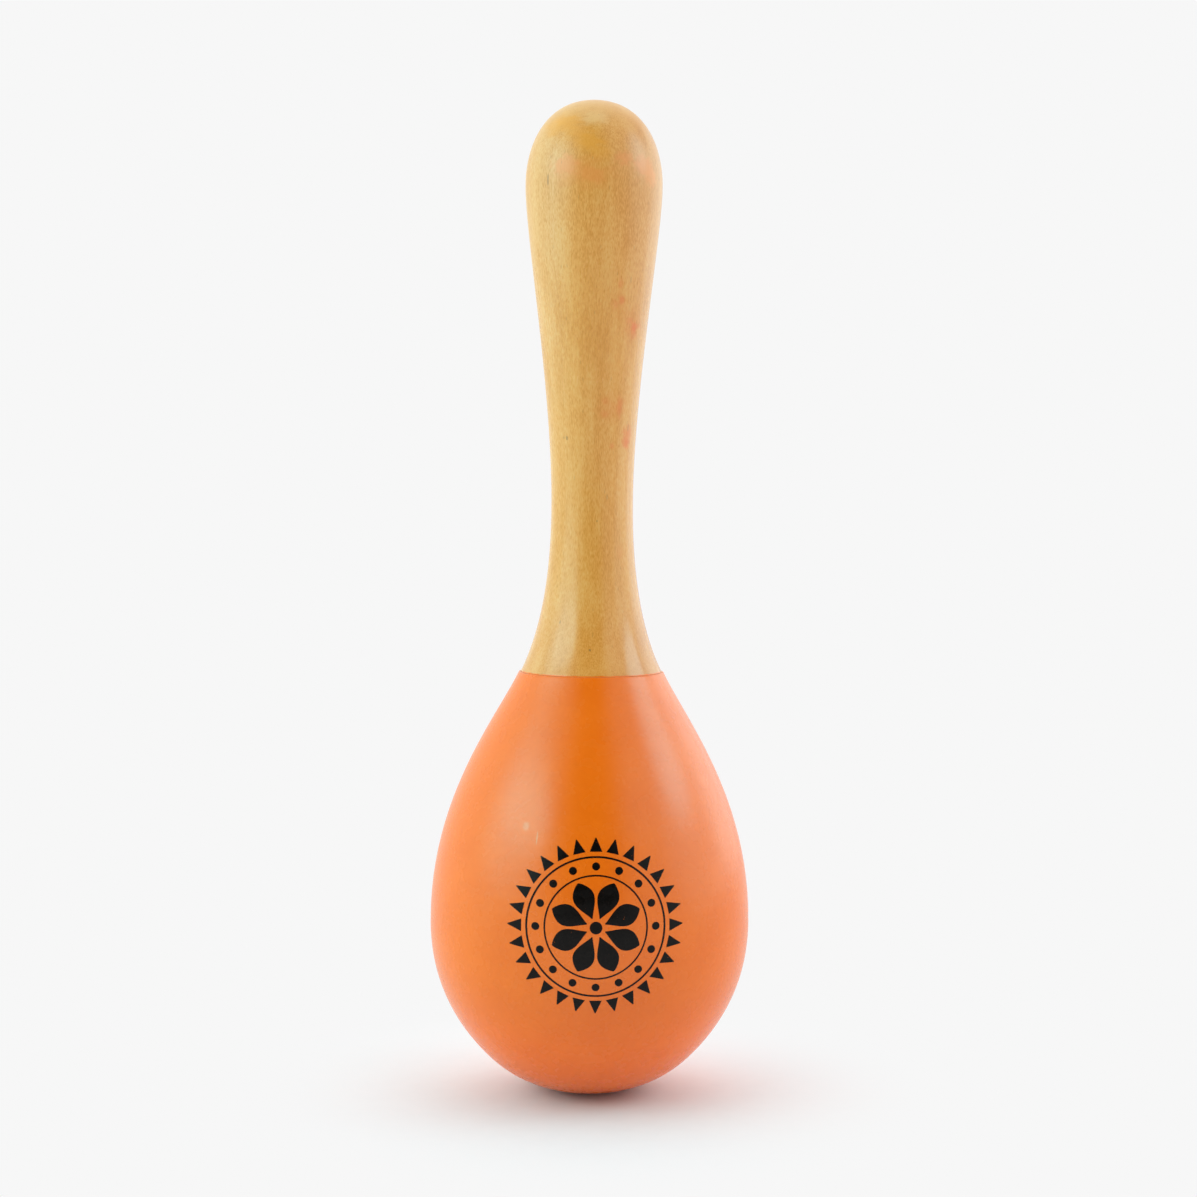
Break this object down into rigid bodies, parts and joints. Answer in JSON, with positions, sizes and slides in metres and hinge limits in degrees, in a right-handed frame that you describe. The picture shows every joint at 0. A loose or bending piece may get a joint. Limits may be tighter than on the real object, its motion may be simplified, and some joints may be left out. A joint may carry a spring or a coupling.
{
  "type": "wooden rattle",
  "caption": "Turned wooden hand rattle: a natural round handle glued into a hollow egg-shaped orange head with loose beads inside.",
  "frame": {"origin": "the lowest point of the head's closed end, on the axis of the turning", "axes": "+Z along the axis of the turning, from the head's closed end to the handle's knob; -Y faces the viewer and the print"},
  "size_m": [0.0646, 0.0646, 0.2],
  "materials": {
    "natural_wood": "clear satin lacquer",
    "painted_wood": "satin orange paint",
    "bead": "smooth moulded"
  },
  "bodies": {
    "rattle": {"handle": "natural_wood", "head_upper_shell": "painted_wood", "head_lower_shell": "painted_wood"},
    "bead_01": {"rattle_bead_01": "bead"},
    "bead_02": {"rattle_bead_02": "bead"},
    "bead_03": {"rattle_bead_03": "bead"},
    "bead_04": {"rattle_bead_04": "bead"},
    "bead_05": {"rattle_bead_05": "bead"},
    "bead_06": {"rattle_bead_06": "bead"},
    "bead_07": {"rattle_bead_07": "bead"},
    "bead_08": {"rattle_bead_08": "bead"},
    "bead_09": {"rattle_bead_09": "bead"},
    "bead_10": {"rattle_bead_10": "bead"},
    "bead_11": {"rattle_bead_11": "bead"},
    "bead_12": {"rattle_bead_12": "bead"},
    "bead_13": {"rattle_bead_13": "bead"},
    "bead_14": {"rattle_bead_14": "bead"},
    "bead_15": {"rattle_bead_15": "bead"},
    "bead_16": {"rattle_bead_16": "bead"},
    "bead_17": {"rattle_bead_17": "bead"},
    "bead_18": {"rattle_bead_18": "bead"},
    "bead_19": {"rattle_bead_19": "bead"}
  },
  "joints": [
    {"name": "bead_01_bounce", "type": "slide", "parent": "rattle", "child": "bead_01", "axis": [0, 0, 1], "range_m": [0, 0.058]},
    {"name": "bead_02_bounce", "type": "slide", "parent": "rattle", "child": "bead_02", "axis": [0, 0, 1], "range_m": [0, 0.0568]},
    {"name": "bead_03_bounce", "type": "slide", "parent": "rattle", "child": "bead_03", "axis": [0, 0, 1], "range_m": [0, 0.0568]},
    {"name": "bead_04_bounce", "type": "slide", "parent": "rattle", "child": "bead_04", "axis": [0, 0, 1], "range_m": [0, 0.0568]},
    {"name": "bead_05_bounce", "type": "slide", "parent": "rattle", "child": "bead_05", "axis": [0, 0, 1], "range_m": [0, 0.0568]},
    {"name": "bead_06_bounce", "type": "slide", "parent": "rattle", "child": "bead_06", "axis": [0, 0, 1], "range_m": [0, 0.0568]},
    {"name": "bead_07_bounce", "type": "slide", "parent": "rattle", "child": "bead_07", "axis": [0, 0, 1], "range_m": [0, 0.0568]},
    {"name": "bead_08_bounce", "type": "slide", "parent": "rattle", "child": "bead_08", "axis": [0, 0, 1], "range_m": [0, 0.0517]},
    {"name": "bead_09_bounce", "type": "slide", "parent": "rattle", "child": "bead_09", "axis": [0, 0, 1], "range_m": [0, 0.0517]},
    {"name": "bead_10_bounce", "type": "slide", "parent": "rattle", "child": "bead_10", "axis": [0, 0, 1], "range_m": [0, 0.0517]},
    {"name": "bead_11_bounce", "type": "slide", "parent": "rattle", "child": "bead_11", "axis": [0, 0, 1], "range_m": [0, 0.0517]},
    {"name": "bead_12_bounce", "type": "slide", "parent": "rattle", "child": "bead_12", "axis": [0, 0, 1], "range_m": [0, 0.0517]},
    {"name": "bead_13_bounce", "type": "slide", "parent": "rattle", "child": "bead_13", "axis": [0, 0, 1], "range_m": [0, 0.0517]},
    {"name": "bead_14_bounce", "type": "slide", "parent": "rattle", "child": "bead_14", "axis": [0, 0, 1], "range_m": [0, 0.0517]},
    {"name": "bead_15_bounce", "type": "slide", "parent": "rattle", "child": "bead_15", "axis": [0, 0, 1], "range_m": [0, 0.0517]},
    {"name": "bead_16_bounce", "type": "slide", "parent": "rattle", "child": "bead_16", "axis": [0, 0, 1], "range_m": [0, 0.0517]},
    {"name": "bead_17_bounce", "type": "slide", "parent": "rattle", "child": "bead_17", "axis": [0, 0, 1], "range_m": [0, 0.0517]},
    {"name": "bead_18_bounce", "type": "slide", "parent": "rattle", "child": "bead_18", "axis": [0, 0, 1], "range_m": [0, 0.0517]},
    {"name": "bead_19_bounce", "type": "slide", "parent": "rattle", "child": "bead_19", "axis": [0, 0, 1], "range_m": [0, 0.0517]}
  ]
}
